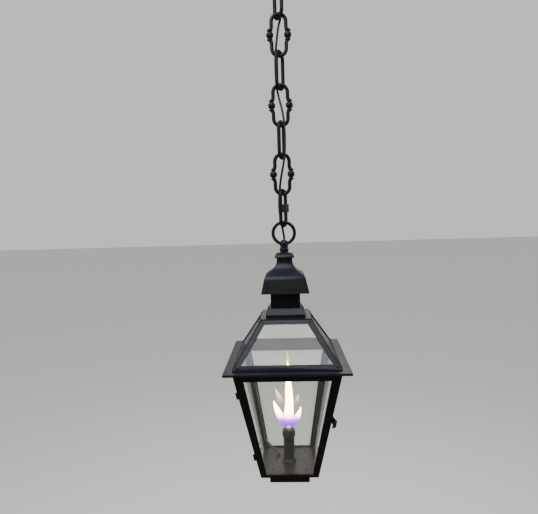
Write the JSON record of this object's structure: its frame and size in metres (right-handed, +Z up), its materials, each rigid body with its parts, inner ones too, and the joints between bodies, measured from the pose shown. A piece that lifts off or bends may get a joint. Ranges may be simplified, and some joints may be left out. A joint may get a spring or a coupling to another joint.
{
  "type": "hanging gas lantern",
  "caption": "Square tapered lantern with hipped glass roof and vented hood, hung from a ceiling canopy on a decorative chain, with a hinged glass door.",
  "frame": {"origin": "middle of the canopy's flat face, where it meets the ceiling", "axes": "+Z up out of the ceiling face, -Y towards the door, +X to the door's latch side"},
  "size_m": [0.26, 0.26, 1.161],
  "materials": {
    "black_metal": "black powder coat, satin",
    "glass": "clear",
    "brass": "dull brass",
    "ceramic": "unglazed ceramic",
    "sleeve_enamel": "enamelled tube",
    "plated_steel": "blackened steel",
    "gas_tube": "painted soft copper tube"
  },
  "bodies": {
    "canopy": {"ceiling_bar": "plated_steel", "canopy_shell": "black_metal", "canopy_stud": "plated_steel", "canopy_nuts": "plated_steel", "canopy_loop": "black_metal", "gas_inlet": "brass", "canopy_bush": "black_metal", "gas_tube_1": "gas_tube"},
    "plain_link_1": {"plain_link_1": "black_metal", "gas_tube_2": "gas_tube"},
    "ornate_link_1": {"ornate_link_1": "black_metal", "gas_tube_3": "gas_tube"},
    "plain_link_2": {"plain_link_2": "black_metal", "gas_tube_4": "gas_tube"},
    "ornate_link_2": {"ornate_link_2": "black_metal", "gas_tube_5": "gas_tube"},
    "plain_link_3": {"plain_link_3": "black_metal", "gas_tube_6": "gas_tube"},
    "ornate_link_3": {"ornate_link_3": "black_metal", "gas_tube_7": "gas_tube"},
    "quick_link": {"quick_link": "plated_steel", "gas_tube_8": "gas_tube"},
    "quick_link_nut": {"quick_link_nut": "plated_steel"},
    "ring": {"hanging_ring": "black_metal"},
    "lantern": {"hanger_knob": "black_metal", "finial_cap": "black_metal", "hood": "black_metal", "tube_gland": "brass", "gas_tube_9": "gas_tube", "hanger_rod": "plated_steel", "rod_nuts": "plated_steel", "hanger_strap": "black_metal", "vent_box": "black_metal", "vent_skirt": "black_metal", "gas_line": "gas_tube", "eave_plate": "black_metal", "roof_frame": "black_metal", "roof_trims": "black_metal", "roof_glass_front": "glass", "roof_glass_right": "glass", "roof_glass_back": "glass", "roof_glass_left": "glass", "panel_screws": "plated_steel", "body_frame": "black_metal", "side_glass_right": "glass", "side_glass_back": "glass", "side_glass_left": "glass", "glass_clips": "black_metal", "floor_plate": "black_metal", "floor_straps": "black_metal", "burner_tray": "black_metal", "gas_valve": "brass", "burner_cup": "black_metal", "candle_sleeve": "sleeve_enamel", "burner_tip": "ceramic", "fixed_leaves": "black_metal"},
    "door": {"door_frame": "black_metal", "door_glass": "glass"},
    "latch": {"door_latch": "black_metal"},
    "valve_knob": {"valve_knob": "brass"}
  },
  "joints": [
    {"name": "plain_link_1_swing", "type": "hinge", "parent": "canopy", "child": "plain_link_1", "pos_m": [0, 0, -0.0749], "axis": [0.9397, 0.342, 0], "range_deg": [-12, 12], "deforming": ["gas_tube_1"]},
    {"name": "ornate_link_1_swing", "type": "hinge", "parent": "plain_link_1", "child": "ornate_link_1", "pos_m": [0, 0, -0.1451], "axis": [0.5, -0.866, 0], "range_deg": [-12, 12], "deforming": ["gas_tube_2"]},
    {"name": "plain_link_2_swing", "type": "hinge", "parent": "ornate_link_1", "child": "plain_link_2", "pos_m": [0, 0, -0.224], "axis": [1, 0, 0], "range_deg": [-12, 12], "deforming": ["gas_tube_3"]},
    {"name": "ornate_link_2_swing", "type": "hinge", "parent": "plain_link_2", "child": "ornate_link_2", "pos_m": [0, 0, -0.2937], "axis": [0.454, 0.891, 0], "range_deg": [-12, 12], "deforming": ["gas_tube_4"]},
    {"name": "plain_link_3_swing", "type": "hinge", "parent": "ornate_link_2", "child": "plain_link_3", "pos_m": [0, 0, -0.3726], "axis": [1, 0, 0], "range_deg": [-12, 12], "deforming": ["gas_tube_5"]},
    {"name": "ornate_link_3_swing", "type": "hinge", "parent": "plain_link_3", "child": "ornate_link_3", "pos_m": [0, 0, -0.4423], "axis": [0.342, 0.9397, 0], "range_deg": [-12, 12], "deforming": ["gas_tube_6"]},
    {"name": "quick_link_swing", "type": "hinge", "parent": "ornate_link_3", "child": "quick_link", "pos_m": [0, 0, -0.5212], "axis": [1, 0, 0], "range_deg": [-12, 12], "deforming": ["gas_tube_7"]},
    {"name": "ring_swing", "type": "hinge", "parent": "quick_link", "child": "ring", "pos_m": [0, 0, -0.5915], "axis": [0.4226, 0.9063, 0], "range_deg": [-12, 12], "deforming": ["gas_tube_8"]},
    {"name": "lantern_swing", "type": "hinge", "parent": "ring", "child": "lantern", "pos_m": [0, 0, -0.6314], "axis": [1, 0, 0], "range_deg": [-12, 12], "deforming": ["gas_tube_9"]},
    {"name": "quick_link_nut_slide", "type": "slide", "parent": "quick_link", "child": "quick_link_nut", "axis": [0, 0, 1], "range_m": [0, 0.014]},
    {"name": "door_hinge", "type": "hinge", "parent": "lantern", "child": "door", "pos_m": [-0.10472, -0.10415, -0.93836], "axis": [0.1929, 0.1929, -0.9621], "range_deg": [0, 110]},
    {"name": "latch_pivot", "type": "hinge", "parent": "lantern", "child": "latch", "pos_m": [0.09249, -0.07771, -1.00264], "axis": [0.1929, -0.1929, 0.9621], "range_deg": [-30, 70]},
    {"name": "valve_turn", "type": "hinge", "parent": "lantern", "child": "valve_knob", "pos_m": [0, 0.0282, -1.149], "axis": [0, 1, 0], "range_deg": [0, 90]}
  ]
}
